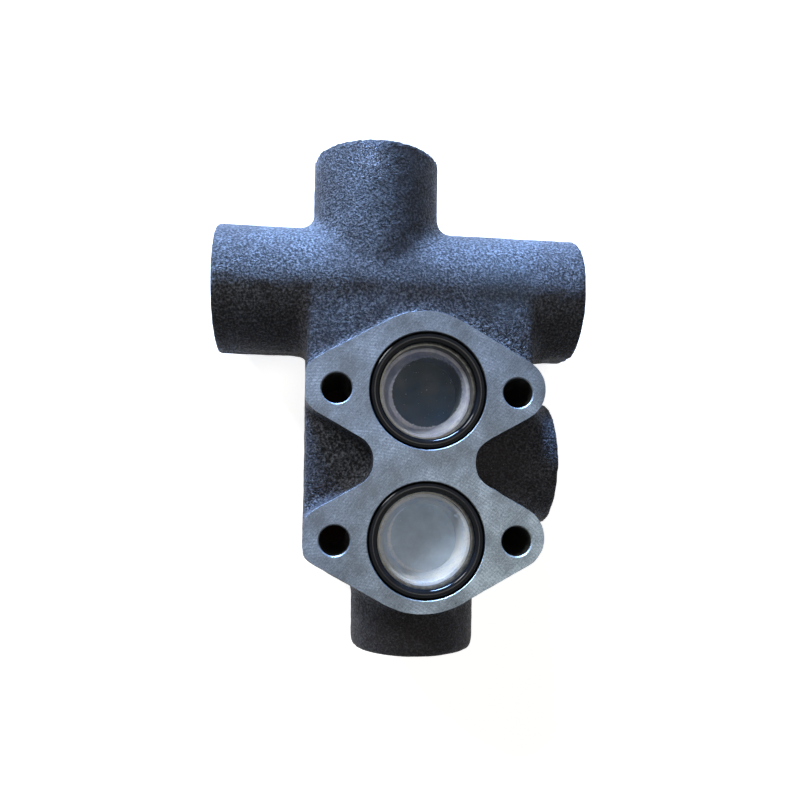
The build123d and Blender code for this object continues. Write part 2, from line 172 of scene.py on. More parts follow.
def addBlock(low, high):
    centre = (Vector(low) + Vector(high)) / 2
    deselectAll()
    bpy.ops.mesh.primitive_cube_add(size=1, location=centre * mm)
    block = bpy.context.object
    block.scale = (Vector(high) - Vector(low)) * mm
    return settle(block)


def joinPieces(pieces, name):
    deselectAll()
    for piece in pieces:
        piece.select_set(True)
    bpy.context.view_layer.objects.active = pieces[0]
    bpy.ops.object.join()
    pieces[0].name = name
    return pieces[0]


def cutWith(piece, cutter):
    applyModifier(piece, "BOOLEAN", operation="DIFFERENCE", solver="MANIFOLD", object=cutter)
    bpy.data.objects.remove(cutter)


# The stage: floor, light and camera

stageSizes = {
    "floorZ": -56.3, "floorWidth": 8000,
    "shade": (36, 44, 13),             # half sizes of the floor under the block, and its middle y
    "paper": "E9E9E9", "paperGlow": 0.86, "bench": "2E221C",
    "room": "EFDCCB", "roomStrength": 0.02, "backdrop": "E8ECF2",
    "aim": (0, 20, -30),
}

lamps = {
    # a window, up and to the left in the picture
    "window": {"place": (-840, 960, 590), "size": 480, "power": 18.5, "colour": "F6FBFF"},
    # a wide low blue light along the picture's upper edge
    "sky": {"place": (-310, 1400, -80), "size": 800, "power": 520.0, "colour": "9CC3FF"},
    # a weak one overhead
    "fill": {"place": (40, 60, 1150), "size": 500, "power": 2.8, "colour": "F6EFE6"},
}

cameraSizes = {
    "focalPixels": 729.52,
    "centrePixel": (413.376, 460.955),
    "turn": (0.022, -0.117, 0.017),
    "place": (-33.472, -4.404, 243.576),
    "imagePixels": 800,
    "sensor": 36.0, "clipStart": 10,
}


# 1 for what the camera sees, straight, in a mirror or through a clear thing; 0 for bounced light
def pictureRays(tree):
    rays = addNode(tree, "LightPath", {})
    seen = addNode(tree, "Math", {
        0: rays["Is Camera Ray"], 1: rays["Is Glossy Ray"]}, operation="MAXIMUM")[0]
    return addNode(tree, "Math", {0: seen, 1: rays["Is Transmission Ray"]}, operation="MAXIMUM")[0]


# The camera, mirrors and clear things see a white sweep that keeps the object's shadow. Bounced
# light sees the brown bench that it really lies on. Under the block the camera sees the dark bench
# too, a painted shade patch that shows through the holes
def buildFloor():
    s = stageSizes
    material, tree, here = startMaterial("whiteSweepOnBrownBench")
    spot = addNode(tree, "SeparateXYZ", {0: here})
    halfX, halfY, middleY = (size * mm for size in s["shade"])
    insideX = addNode(tree, "Math", {0: spot["X"], 1: 0.0, 2: halfX}, operation="COMPARE")[0]
    insideY = addNode(tree, "Math", {0: spot["Y"], 1: middleY, 2: halfY}, operation="COMPARE")[0]
    shadePatch = addNode(tree, "Math", {0: insideX, 1: insideY}, operation="MULTIPLY")[0]
    white = addNode(tree, "Math", {
        0: pictureRays(tree), 1: shadePatch}, operation="SUBTRACT", use_clamp=True)[0]
    glow = addNode(tree, "Emission", {
        "Color": linearColour("FFFFFF"), "Strength": s["paperGlow"]})[0]
    paper = addNode(tree, "BsdfDiffuse", {"Color": linearColour(s["paper"])})[0]
    sweep = addNode(tree, "AddShader", {0: paper, 1: glow})[0]
    bench = addNode(tree, "BsdfDiffuse", {"Color": linearColour(s["bench"])})[0]
    both = addNode(tree, "MixShader", {0: white, 1: bench, 2: sweep})[0]
    addNode(tree, "OutputMaterial", {"Surface": both})
    deselectAll()
    bpy.ops.mesh.primitive_plane_add(size=s["floorWidth"] * mm, location=(0, 0, s["floorZ"] * mm))
    floor = bpy.context.object
    floor.name = "floor"
    floor.data.materials.append(material)


def buildWorld():
    s = stageSizes
    world = bpy.data.worlds.new("paleRoom")
    bpy.context.scene.world = world
    world.use_nodes = True
    tree = world.node_tree
    tree.nodes.clear()
    room = addNode(tree, "Background", {
        "Color": linearColour(s["room"]), "Strength": s["roomStrength"]})[0]
    backdrop = addNode(tree, "Background", {
        "Color": linearColour(s["backdrop"]), "Strength": 1.0})[0]
    both = addNode(tree, "MixShader", {0: pictureRays(tree), 1: room, 2: backdrop})[0]
    addNode(tree, "OutputWorld", {"Surface": both})


def addLamp(name, lamp):
    data = bpy.data.lights.new(name, "AREA")
    data.shape = "DISK"
    data.size = lamp["size"] * mm
    data.energy = lamp["power"]
    data.color = linearColour(lamp["colour"])[:3]
    light = bpy.data.objects.new(name, data)
    bpy.context.scene.collection.objects.link(light)
    light.location = Vector(lamp["place"]) * mm
    aim = Vector(stageSizes["aim"]) * mm - light.location
    light.rotation_euler = aim.to_track_quat("-Z", "Y").to_euler()


def buildCamera():
    s = cameraSizes
    data = bpy.data.cameras.new("camera")
    data.sensor_width = s["sensor"]
    data.lens = s["focalPixels"] / s["imagePixels"] * s["sensor"]
    data.shift_x = 0.5 - s["centrePixel"][0] / s["imagePixels"]
    data.shift_y = s["centrePixel"][1] / s["imagePixels"] - 0.5
    data.clip_start = s["clipStart"] * mm
    camera = bpy.data.objects.new("camera", data)
    bpy.context.scene.collection.objects.link(camera)
    turnX, turnY, turnZ = (Matrix.Rotation(turn, 4, axis) for turn, axis in zip(s["turn"], "XYZ"))
    place = Matrix.Translation(Vector(s["place"]) * mm)
    camera.matrix_world = place @ turnZ @ turnX @ turnY
    bpy.context.scene.camera = camera


bpy.context.scene.view_settings.view_transform = "Standard"
buildFloor()
buildWorld()
for lampName, lampSizes in lamps.items():
    addLamp(lampName, lampSizes)
buildCamera()
print("stage ready")


# The casting

castSizes = {
    "shift": (-0.93, 1.15),            # the casting sits a little off the drilled holes
    # the pad's outline: lobes round the ports, ears round the bolt holes, a waist between them
    "lobe": 25.9, "ear": 10.8, "waist": 16.9, "notchFillet": 4.5,
    "waistHalf": 14, "padWaistHalf": 12,
    "earFlats": (-41.1, 40.8), "flatDraft": 2.0, "earReach": 16, "earCut": 20,
    "padFoot": -10.0, "padTop": 3.0, "padDraft": 0.95,
    # the block behind it is larger by the margin, and by the parting's swell halfway down
    "front": -9.0, "back": -56.0, "margin": 1.4, "parting": 0.6,
    "left": -41.6, "right": 39.7, "blockLap": -1,
    "armY": 64.5, "armRadius": 23.5, "armLeft": -74.4, "armRight": 58.3,
    "reliefX": -16.85, "reliefRadius": 23.2, "reliefEnd": 113.7,
    "outletX": -1.1, "outletRadius": 22.7, "outletEnd": -67.0,
    "outletRound": 3.2, "outletOver": 0.6,
    "checkY": 2.1, "checkRadius": 22.8, "checkEnd": 48.5,
    # bosses run over their ends and are trimmed; the relief boss keeps a stub of its riser
    "overrun": 4.0, "trimReach": 40, "trimOver": 10.0, "riserStub": 0.8,
    "below": -60, "above": 6, "trimZ": (-90, 20),
    "blockEdge": 3.0, "foundryFillet": 3.0, "padBurr": 0.25,
    "voxel": 0.95, "meltVoxel": 1.14,
    # a mould's marks: the parting line, lumps, sand grain and the riser's broken rim
    "partingBand": 0.5, "partingRidge": 0.25, "partingSteep": 0.4,
    "lumpSize": 9.0, "lumpHeight": 0.30,
    "grainSize": 3.0, "grainHeight": 0.20,
    "brokenRim": 0.6, "brokenBy": 0.28, "brokenSeed": 4,
    "smoothAngle": 32,
}


# A drafted diamond: hull of a lobe round the port and an ear round each bolt hole
def addDiamond(y, levels):
    shiftX, shiftY = castSizes["shift"]
    lobe, ear = castSizes["lobe"], castSizes["ear"]
    cones = []
    for x, radius in ((0, lobe), (-boltX, ear), (boltX, ear)):
        for (lowZ, lowGrow), (highZ, highGrow) in zip(levels, levels[1:]):
            cones.append(addBar("Z", (x + shiftX, y + shiftY, 0), lowZ, highZ,
                                radius + lowGrow, radius + highGrow, sides=72))
    diamond = joinPieces(cones, "diamond")
    inEditMode(diamond, "VERT", bpy.ops.mesh.convex_hull, everything=True)
    return diamond


# A drafted box with its two long free edges rounded
def addDraftedBlock(low, high, grow, roundX):
    block = addBlock(low, high)
    core, free = coreZ * mm, roundX * mm
    inEditMode(block, "FACE", lambda: bpy.ops.mesh.bisect(
        plane_co=(0, 0, core), plane_no=(0, 0, 1)), everything=True)
    pickVertices(block, lambda vertex: abs(vertex.co.z - core) < tiny)
    width = high[0] - low[0]
    inEditMode(block, "VERT", lambda: bpy.ops.transform.resize(value=(1 + 2 * grow / width, 1, 1)))
    pickEdges(block, lambda a, b: abs(a.x - free) < tiny and abs(b.x - free) < tiny
              and abs(a.z - b.z) < tiny and abs(a.z - core) > tiny)
    inEditMode(block, "EDGE", lambda: bpy.ops.mesh.bevel(
        offset=castSizes["blockEdge"] * mm, segments=4, affect="EDGES"))
    return block


# The casting before its pad. Every boss runs over its end and is trimmed there later; the outlet
# runs over only a little, so that its rounded rim stays
def buildCastShape():
    c = castSizes
    shiftX, shiftY = c["shift"]
    over, back, front, margin, armY = (
        c[key] for key in ("overrun", "back", "front", "margin", "armY"))
    levels = [(back, margin), (coreZ, margin + c["parting"]), (front, margin)]
    waist = c["waist"] + c["padDraft"] / 2
    parts = [
        addBar("X", (0, armY, coreZ), c["armLeft"] - over, c["armRight"] + over, c["armRadius"]),
        addBar("Y", (c["reliefX"], 0, coreZ), armY, c["reliefEnd"] + over, c["reliefRadius"]),
        addBar("Y", (c["outletX"], 0, coreZ), c["outletEnd"] - c["outletOver"], 0,
               c["outletRadius"], startRound=c["outletRound"]),
        addBar("X", (0, c["checkY"], coreZ), 0, c["checkEnd"] + over, c["checkRadius"]),
    ]
    parts += [addDiamond(y, levels) for y in (-portY, portY)]
    parts += [
        addBlock((shiftX - waist, shiftY - c["waistHalf"], back),
                 (shiftX + waist + margin, shiftY + c["waistHalf"], front)),
        addDraftedBlock((c["left"], -portY + shiftY, back), (0, armY, front),
                        c["parting"], c["left"]),
        addDraftedBlock((c["blockLap"], portY + shiftY, back), (c["right"], armY, front),
                        c["parting"], c["right"]),
    ]
    return joinPieces(parts, "castValveBody")


# Foundry fillets: swell the skin, let the swollen shapes melt together, and shrink it back
def meltFillets(body, radius):
    size = radius * mm
    voxel = castSizes["meltVoxel"] * mm
    applyModifier(body, "REMESH", mode="VOXEL", voxel_size=voxel)
    applyModifier(body, "DISPLACE", strength=size, mid_level=0.0)
    applyModifier(body, "REMESH", mode="VOXEL", voxel_size=voxel)
    applyModifier(body, "SMOOTH", factor=0.5, iterations=4)
    applyModifier(body, "DISPLACE", strength=-size, mid_level=0.0)


# Two diamonds and the waist between them
def buildPad():
    c = castSizes
    shiftX, shiftY = c["shift"]
    levels = [(c["padFoot"], c["padDraft"]), (c["padTop"], -c["padDraft"] / 3)]
    waist = c["waist"] + c["padDraft"] / 2
    parts = [addDiamond(y, levels) for y in (-portY, portY)]
    parts.append(addBlock((shiftX - waist, shiftY - c["padWaistHalf"], c["padFoot"]),
                          (shiftX + waist, shiftY + c["padWaistHalf"], c["padTop"])))
    pad = joinPieces(parts, "pad")
    meltFillets(pad, c["notchFillet"])
    return pad


# The ears run into flat sides, level with the block's: on the left all the way down, with draft,
# and on the right only at the pad, as the check boss is there
def flattenEars(body):
    c = castSizes
    left, right = c["earFlats"]
    reach = portY + c["earReach"]
    cutter = addBlock((left - c["earCut"], -reach, c["below"]), (left, reach, c["above"]))
    pickVertices(cutter, lambda vertex: vertex.co.z < coreZ * mm
                 and abs(vertex.co.x - left * mm) < tiny)
    inEditMode(cutter, "VERT", lambda: bpy.ops.transform.translate(
        value=(-c["flatDraft"] * mm, 0, 0)))
    cutWith(body, cutter)
    cutWith(body, addBlock((right, -reach, c["front"]), (right + c["earCut"], reach, c["above"])))


def trimEnds(body):
    c = castSizes
    reach, over = c["trimReach"], c["trimOver"]
    low, high = c["trimZ"]
    ends = [
        ((c["armLeft"] - over, c["armY"] - reach), (c["armLeft"], c["armY"] + reach)),
        ((c["armRight"], c["armY"] - reach), (c["armRight"] + over, c["armY"] + reach)),
        ((c["reliefX"] - reach, c["reliefEnd"] + c["riserStub"]),
         (c["reliefX"] + reach, c["reliefEnd"] + over)),
        ((c["outletX"] - reach, c["outletEnd"] - over), (c["outletX"] + reach, c["outletEnd"])),
        ((c["checkEnd"], c["checkY"] - reach), (c["checkEnd"] + over, c["checkY"] + reach)),
    ]
    for near, far in ends:
        cutWith(body, addBlock((*near, low), (*far, high)))


# A parting line round the skin, the lumps and sand grain of a green-sand mould, and a ragged rim
# where the relief boss was broken from its riser
def roughenSkin(body):
    c = castSizes
    pickVertices(body, lambda vertex: abs(vertex.co.z - coreZ * mm) < c["partingBand"] * mm
                 and abs(vertex.normal.z) < c["partingSteep"])
    inEditMode(body, "VERT", lambda: bpy.ops.transform.shrink_fatten(value=c["partingRidge"] * mm))
    for name, size, height in (("mouldLumps", c["lumpSize"], c["lumpHeight"]),
                               ("sandGrain", c["grainSize"], c["grainHeight"])):
        pattern = bpy.data.textures.new(name, "CLOUDS")
        pattern.noise_scale = size * mm
        pattern.noise_depth = 1
        applyModifier(body, "DISPLACE", texture=pattern, texture_coords="LOCAL",
                      strength=height * mm, mid_level=0.5)
    rimY = (c["reliefEnd"] - c["brokenRim"]) * mm
    pickVertices(body, lambda vertex: vertex.co.y > rimY)
    inEditMode(body, "VERT", lambda: bpy.ops.transform.vertex_random(
        offset=c["brokenBy"] * mm, seed=c["brokenSeed"]))


# Machined sizes, mostly the solid model's own
machining = {
    "mill": (60, 70, 12), "drillFrom": -60, "drillTo": 5,
    "bolt": 5.15, "boltChamfer": 0.4, "spot": 8.6, "spotDepth": 0.8,
    "recess": 20.1, "recessDepth": 3.6, "recessChamfer": 0.22,
    "portBore": 15.875, "portDepth": 20.0, "chamber": 11.0, "chamberFloor": -42.0,
    "gallery": 12.7, "galleryEnd": 5, "annulus": 16.0, "cross": 9.0, "feed": 6.5,
    "threadRoot": 16.75, "threadDepth": 20.0, "mouth": 17.75, "mouthDepth": 1.55, "mouthLap": 0.5,
    "portFace": 20.9, "portFaceDepth": 0.35, "runOut": 3,
    "plugThread": 16.0, "plugPocket": 19.4, "pocketDepth": 4.5, "gland": 18.0, "glandDepth": 2.5,
    "sleeve": 12.05, "reliefSeat": 9.5, "reliefSeatLow": 43.0, "reliefSeatTop": 50.0,
    "reliefCounter": 89.0,
    "checkSeat": 10.5, "checkSeatBack": 3.0, "checkSeatFace": 9.0, "checkChamber": 13.5,
    "checkCounter": 26.0, "checkInletX": -6.0, "checkInlet": 8.0, "checkOutletX": 16.0,
    "checkOutlet": 7.0,
    "lap": 0.02,                       # two cutters that only touch leave a skin across the bore
}


# A stepped bore. Each step has a station on the axis, the radius there and the radius where it
# ends, at the next station; the steps overlap a little
def boreCutters(axis, spot, steps):
    lap = machining["lap"]
    cutters = []
    for (start, radius, endRadius), (end, _, _) in zip(steps, steps[1:]):
        low, high = sorted((start, end))
        first, last = (radius, endRadius) if start < end else (endRadius, radius)
        cutters.append(addBar(axis, spot, low - lap, high + lap, first, last, sides=128))
    return cutters


# An open port: the thread's bore, its flared mouth and the spot face round it
def portCutters(axis, spot, end, outward):
    m = machining
    face, outside = sorted((end - outward * m["portFaceDepth"], end + outward * m["runOut"]))
    return boreCutters(axis, spot, [
        (end - outward * m["threadDepth"], m["threadRoot"], m["threadRoot"]),
        (end - outward * m["mouthDepth"], m["threadRoot"], m["mouth"]),
        (end + outward * m["mouthLap"], m["mouth"], m["mouth"]),
        (end + outward * m["runOut"], 0, 0),
    ]) + [addBar(axis, spot, face, outside, m["portFace"])]


# The outer steps of a bore that a plug closes: its gland, the pocket for its head and the way out
def plugSteps(end):
    m = machining
    floor = end - m["pocketDepth"]
    return [(floor - m["glandDepth"], m["plugThread"], m["gland"]),
            (floor, m["plugPocket"], m["plugPocket"]), (end + m["runOut"], 0, 0)]


def boltCutters(x, y):
    m = machining
    spot, low, chamfer = (x, y, 0), m["drillFrom"], m["boltChamfer"]
    return [
        addBar("Z", spot, low, m["drillTo"], m["bolt"], sides=64),
        addBar("Z", spot, -chamfer, chamfer, m["bolt"], m["bolt"] + 2 * chamfer, sides=64),
        addBar("Z", spot, low, castSizes["back"] + m["spotDepth"], m["spot"], sides=64),
    ]


def facePortCutters(y):
    m = machining
    spot, top, chamfer = (0, y, 0), m["drillTo"], m["recessChamfer"]
    return [
        addBar("Z", spot, -m["recessDepth"], top, m["recess"], sides=128),
        addBar("Z", spot, -chamfer, chamfer, m["recess"], m["recess"] + 2 * chamfer, sides=128),
        addBar("Z", spot, -m["portDepth"], top, m["portBore"], sides=128),
        addBar("Z", spot, m["chamberFloor"], 0, m["chamber"]),
    ]


# All cutters make one tool, which holds every milled face and every bore
def machineBody(body):
    m = machining
    c = castSizes
    millX, millY, millZ = m["mill"]
    cutters = [addBlock((-millX, -millY, 0), (millX, millY, millZ))]
    for x, y in boltSpots:
        cutters += boltCutters(x, y)
    for _, y in portSpots:
        cutters += facePortCutters(y)

    armSpot = (0, c["armY"], coreZ)
    inset = m["galleryEnd"]
    cutters.append(addBar("X", armSpot, c["armLeft"] + inset, c["armRight"] - inset, m["gallery"]))
    for end, outward in ((c["armLeft"], -1), (c["armRight"], 1)):
        cutters += portCutters("X", armSpot, end, outward)
    outletSpot = (c["outletX"], 0, coreZ)
    cutters.append(addBar("Y", outletSpot, c["outletEnd"] + inset, -portY, m["gallery"]))
    cutters += portCutters("Y", outletSpot, c["outletEnd"], -1)

    reliefSpot = (c["reliefX"], 0, coreZ)
    cutters += boreCutters("Y", reliefSpot, [
        (portY, m["feed"], m["feed"]), (m["reliefSeatLow"], m["reliefSeat"], m["reliefSeat"]),
        (m["reliefSeatTop"], m["sleeve"], m["sleeve"]),
        (m["reliefCounter"], m["plugThread"], m["plugThread"]), *plugSteps(c["reliefEnd"])])
    cutters += [
        addBar("Y", reliefSpot, c["armY"] - m["gallery"], c["armY"] + m["gallery"], m["annulus"]),
        addBar("X", (0, portY, coreZ), c["reliefX"] - m["feed"], 0, m["cross"]),
    ]

    outletX, outlet = m["checkOutletX"], m["checkOutlet"]
    cutters += boreCutters("X", (0, c["checkY"], coreZ), [
        (m["checkInletX"], m["feed"], m["feed"]),
        (m["checkSeatBack"], m["checkSeat"], m["checkSeat"]),
        (m["checkSeatFace"], m["checkChamber"], m["checkChamber"]),
        (m["checkCounter"], m["plugThread"], m["plugThread"]), *plugSteps(c["checkEnd"])])
    cutters += [
        addBar("Y", (m["checkInletX"], 0, coreZ), c["checkY"], portY, m["checkInlet"]),
        addBar("Y", (outletX, 0, coreZ), -portY, c["checkY"], outlet),
        addBar("X", (0, -portY, coreZ), 0, outletX + outlet, outlet),
    ]

    tool = cutters[0]
    for cutter in cutters[1:]:
        applyModifier(tool, "BOOLEAN", operation="UNION", solver="MANIFOLD", object=cutter)
        bpy.data.objects.remove(cutter)
    cutWith(body, tool)


# Distance from a spot in mm; the weights leave out an axis, for a distance from a line
def distanceFrom(tree, here, spot, weights=(1, 1, 1)):
    offset = tuple(-s * w * mm for s, w in zip(spot, weights))
    moved = addNode(tree, "VectorMath", {
        0: here, 1: weights, 2: offset}, operation="MULTIPLY_ADD")[0]
    return addNode(tree, "VectorMath", {0: moved}, operation="LENGTH")["Value"]


def finishMaterial(tree, inputs):
    shader = addNode(tree, "BsdfPrincipled", inputs)[0]
    addNode(tree, "OutputMaterial", {"Surface": shader})


# In a colour Mix node, socket 0 is the factor, 6 and 7 are the colours and output 2 is the result

# Cast grey iron with a dark phosphate coat, moulded in sand: a dull blue-black skin of small hard
# grains, each with a cold light side and a black pit behind it; bright nicks where it was knocked
def castSkin():
    material, tree, here = startMaterial("phosphatedSandCastIron")
    spot = addNode(tree, "SeparateXYZ", {0: here})

    # 0.8 mm sand grain, as seen in the photograph, a finer grit, and oil stains of about an inch
    grain = addNode(tree, "TexNoise", {
        "Vector": here, "Scale": 1 / (0.78 * mm), "Detail": 3.0, "Roughness": 0.6})["Fac"]
    grit = addNode(tree, "TexNoise", {
        "Vector": here, "Scale": 1 / (0.4 * mm), "Detail": 2.0, "Roughness": 0.6})["Fac"]
    oil = addNode(tree, "TexNoise", {
        "Vector": here, "Scale": 1 / (24 * mm), "Detail": 3.0, "Roughness": 0.55})["Fac"]
    grainTone = addNode(tree, "ValToRGB", {"Fac": grain}, [
        (0.34, "0A0A0B"), (0.44, "232427"), (0.54, "45484D"), (0.66, "6A6E76")])[0]
    oilTone = addNode(tree, "ValToRGB", {"Fac": oil}, [(0.36, "C2B8B4"), (0.60, "FFFFFF")])[0]
    colour = addNode(tree, "Mix", {0: 1.0, 6: grainTone, 7: oilTone},
                     data_type="RGBA", blend_type="MULTIPLY")[2]

    # painted shade: a darker tongue down the middle of the relief boss
    reliefBossShade = addNode(tree, "MapRange", {
        "Value": distanceFrom(tree, here, (-10, 94, 0), (1, 0.5, 0)),
        "From Min": 5 * mm, "From Max": 17 * mm, "To Min": 0.6, "To Max": 0.0})[0]
    reliefBossShadeTone = addNode(tree, "ValToRGB", {"Fac": grit}, [(0.3, "777A80"), (0.7, "83868C")])[0]
    colour = addNode(tree, "Mix", {0: reliefBossShade, 6: colour, 7: reliefBossShadeTone},
                     data_type="RGBA", blend_type="MULTIPLY")[2]

    # painted shade: a darker brown skin with smoother grain on the outlet boss and in the corner
    # beside the check boss, where shade falls
    outlet = addNode(tree, "MapRange", {
        "Value": spot["Y"],
        "From Min": -56 * mm, "From Max": -48 * mm, "To Min": 0.6, "To Max": 0.0})[0]
    corner = addNode(tree, "MapRange", {
        "Value": distanceFrom(tree, here, (25, -1, 0), (1, 1, 0)),
        "From Min": 8 * mm, "From Max": 20 * mm, "To Min": 0.65, "To Max": 0.0})[0]
    paintedShade = addNode(tree, "Math", {0: outlet, 1: corner}, operation="MAXIMUM")[0]
    paintedShadeTone = addNode(tree, "ValToRGB", {"Fac": oil}, [(0.3, "1F1B1B"), (0.7, "332F31")])[0]
    colour = addNode(tree, "Mix", {0: paintedShade, 6: colour, 7: paintedShadeTone}, data_type="RGBA")[2]

    # a dry, hazy patch on the right arm, where the grain is filled
    patch = addNode(tree, "MapRange", {
        "Value": distanceFrom(tree, here, (28, 62, -9)),
        "From Min": 6 * mm, "From Max": 15 * mm, "To Min": 0.5, "To Max": 0.0})[0]
    patchy = addNode(tree, "MapRange", {
        "Value": oil, "From Min": 0.35, "From Max": 0.6, "To Min": 0.4, "To Max": 1.0})[0]
    haze = addNode(tree, "Math", {0: patch, 1: patchy}, operation="MULTIPLY")[0]
    hazeTone = addNode(tree, "ValToRGB", {"Fac": grit}, [(0.3, "262C31"), (0.7, "3A4249")])[0]
    colour = addNode(tree, "Mix", {0: haze, 6: colour, 7: hazeTone}, data_type="RGBA")[2]

    # nicks down to bright iron: a few anywhere, more near the riser and along the pad's edge
    riser = addNode(tree, "MapRange", {
        "Value": distanceFrom(tree, here, (-20, 107, -12)),
        "From Min": 2 * mm, "From Max": 11 * mm, "To Min": 0.19, "To Max": 0.0})[0]
    edge = addNode(tree, "MapRange", {
        "Value": spot["Z"],
        "From Min": -0.9 * mm, "From Max": -0.1 * mm, "To Min": 0.0, "To Max": 0.2})[0]
    exposed = addNode(tree, "Math", {0: riser, 1: edge}, operation="ADD")[0]
    knocks = addNode(tree, "Math", {0: exposed, 1: grit}, operation="ADD")[0]
    nick = addNode(tree, "MapRange", {
        "Value": knocks, "From Min": 0.70, "From Max": 0.76, "To Min": 0.0, "To Max": 0.75})[0]
    ironTone = addNode(tree, "ValToRGB", {"Fac": grain}, [(0.3, "8E99AE"), (0.7, "BCC6D8")])[0]
    colour = addNode(tree, "Mix", {0: nick, 6: colour, 7: ironTone}, data_type="RGBA")[2]

    rough = addNode(tree, "MapRange", {
        "Value": grain, "From Min": 0.3, "From Max": 0.7, "To Min": 0.70, "To Max": 0.48})[0]
    lowGrit = addNode(tree, "Math", {0: grit, 1: 0.35}, operation="MULTIPLY")[0]
    height = addNode(tree, "Math", {0: lowGrit, 1: grain}, operation="ADD")[0]
    smooth = addNode(tree, "Math", {0: haze, 1: paintedShade}, operation="MAXIMUM")[0]
    strength = addNode(tree, "MapRange", {
        "Value": smooth, "From Min": 0.0, "From Max": 0.6, "To Min": 1.0, "To Max": 0.45})[0]
    bump = addNode(tree, "Bump", {"Height": height, "Strength": strength, "Distance": 0.8 * mm})[0]
    finishMaterial(tree, {
        "Base Color": colour, "Roughness": rough, "Normal": bump,
        "Metallic": 0.0, "Specular IOR Level": 0.12})
    return material


# Milled grey iron: a satin blue-grey flat with fine slanting scratches, faint arcs of the cutter's
# last pass, cloudy oil haze and small dark graphite pores
def milledFace():
    material, tree, here = startMaterial("milledGreyIron")
    turned = addNode(tree, "Mapping", {"Vector": here, "Rotation": (0, 0, math.radians(-52))})[0]
    stretched = addNode(tree, "Mapping", {"Vector": turned, "Scale": (1, 16, 1)})[0]
    scratches = addNode(tree, "TexNoise", {
        "Vector": stretched, "Scale": 1 / (5 * mm), "Detail": 7.0, "Roughness": 0.78})["Fac"]
    cloud = addNode(tree, "TexNoise", {
        "Vector": here, "Scale": 1 / (15 * mm), "Detail": 4.0, "Roughness": 0.6})["Fac"]
    pores = addNode(tree, "TexNoise", {
        "Vector": here, "Scale": 1 / (0.9 * mm), "Detail": 2.0, "Roughness": 0.5})["Fac"]

    # iron grain is finer, and is drawn at 0.6 mm to show
    grit = addNode(tree, "TexNoise", {
        "Vector": here, "Scale": 1 / (0.6 * mm), "Detail": 2.0, "Roughness": 0.6})["Fac"]

    # cutter arcs about a centre below the pad, drawn 1.1 mm apart: 0.2 mm is too fine to show
    wander = addNode(tree, "Math", {0: cloud, 1: 0.8 * mm}, operation="MULTIPLY")[0]
    reach = addNode(tree, "Math", {
        0: distanceFrom(tree, here, (-30, -95, 0)), 1: wander}, operation="ADD")[0]
    angle = addNode(tree, "Math", {0: reach, 1: 2 * math.pi / (1.1 * mm)}, operation="MULTIPLY")[0]
    wave = addNode(tree, "Math", {0: angle}, operation="SINE")[0]
    worn = addNode(tree, "MapRange", {
        "Value": cloud, "From Min": 0.42, "From Max": 0.62, "To Min": 0.0, "To Max": 0.045})[0]
    arcs = addNode(tree, "Math", {0: wave, 1: worn}, operation="MULTIPLY")[0]

    # all of it together, and brighter towards the lower right corner
    brighterCorner = addNode(tree, "MapRange", {
        "Value": distanceFrom(tree, here, (46, -52, 0)),
        "From Min": 8 * mm, "From Max": 75 * mm, "To Min": 0.16, "To Max": -0.06})[0]
    mixed = addNode(tree, "Math", {0: scratches, 1: 0.75}, operation="MULTIPLY")[0]
    softGrit = addNode(tree, "Math", {0: grit, 1: 0.55}, operation="MULTIPLY")[0]
    for layer in (cloud, arcs, softGrit, brighterCorner):
        mixed = addNode(tree, "Math", {0: mixed, 1: layer}, operation="ADD")[0]
    level = addNode(tree, "MapRange", {
        "Value": mixed, "From Min": 0.7, "From Max": 1.7, "To Min": 0.0, "To Max": 1.0})[0]
    tone = addNode(tree, "ValToRGB", {"Fac": level}, [
        (0.25, "4B5259"), (0.5, "6F7881"), (0.75, "9FA9B2")])[0]

    # the oil on it is warmer towards that corner
    across = addNode(tree, "MapRange", {
        "Value": distanceFrom(tree, here, (40, -50, 0)),
        "From Min": 15 * mm, "From Max": 85 * mm, "To Min": 0.0, "To Max": 1.0})[0]
    warmth = addNode(tree, "ValToRGB", {"Fac": across}, [
        (0.0, "FFFAE6"), (0.5, "FCF8EC"), (1.0, "FAFCFF")])[0]
    poreTone = addNode(tree, "ValToRGB", {"Fac": pores}, [(0.24, "84868A"), (0.32, "FFFFFF")])[0]
    for layer in (warmth, poreTone):
        tone = addNode(tree, "Mix", {0: 1.0, 6: tone, 7: layer},
                       data_type="RGBA", blend_type="MULTIPLY")[2]
    rough = addNode(tree, "MapRange", {
        "Value": cloud, "From Min": 0.3, "From Max": 0.7, "To Min": 0.36, "To Max": 0.52})[0]
    bump = addNode(tree, "Bump", {"Height": mixed, "Strength": 0.4, "Distance": 0.05 * mm})[0]
    finishMaterial(tree, {"Base Color": tone, "Roughness": rough, "Normal": bump, "Metallic": 0.45})
    return material


# Bored grey iron inside the ports: darker, oily and brownish, with 2 mm streaks of old oil
def boredIron():
    material, tree, here = startMaterial("boredGreyIron")
    oil = addNode(tree, "TexNoise", {
        "Vector": here, "Scale": 1 / (2.2 * mm), "Detail": 4.0, "Roughness": 0.6})["Fac"]
    tone = addNode(tree, "ValToRGB", {"Fac": oil}, [
        (0.3, "3A3A38"), (0.55, "5E5F5C"), (0.75, "7E7F7C")])[0]
    rough = addNode(tree, "MapRange", {
        "Value": oil, "From Min": 0.3, "From Max": 0.7, "To Min": 0.30, "To Max": 0.46})[0]
    bump = addNode(tree, "Bump", {"Height": oil, "Strength": 0.3, "Distance": 0.05 * mm})[0]
    finishMaterial(tree, {"Base Color": tone, "Roughness": rough, "Normal": bump, "Metallic": 0.7})
    return material


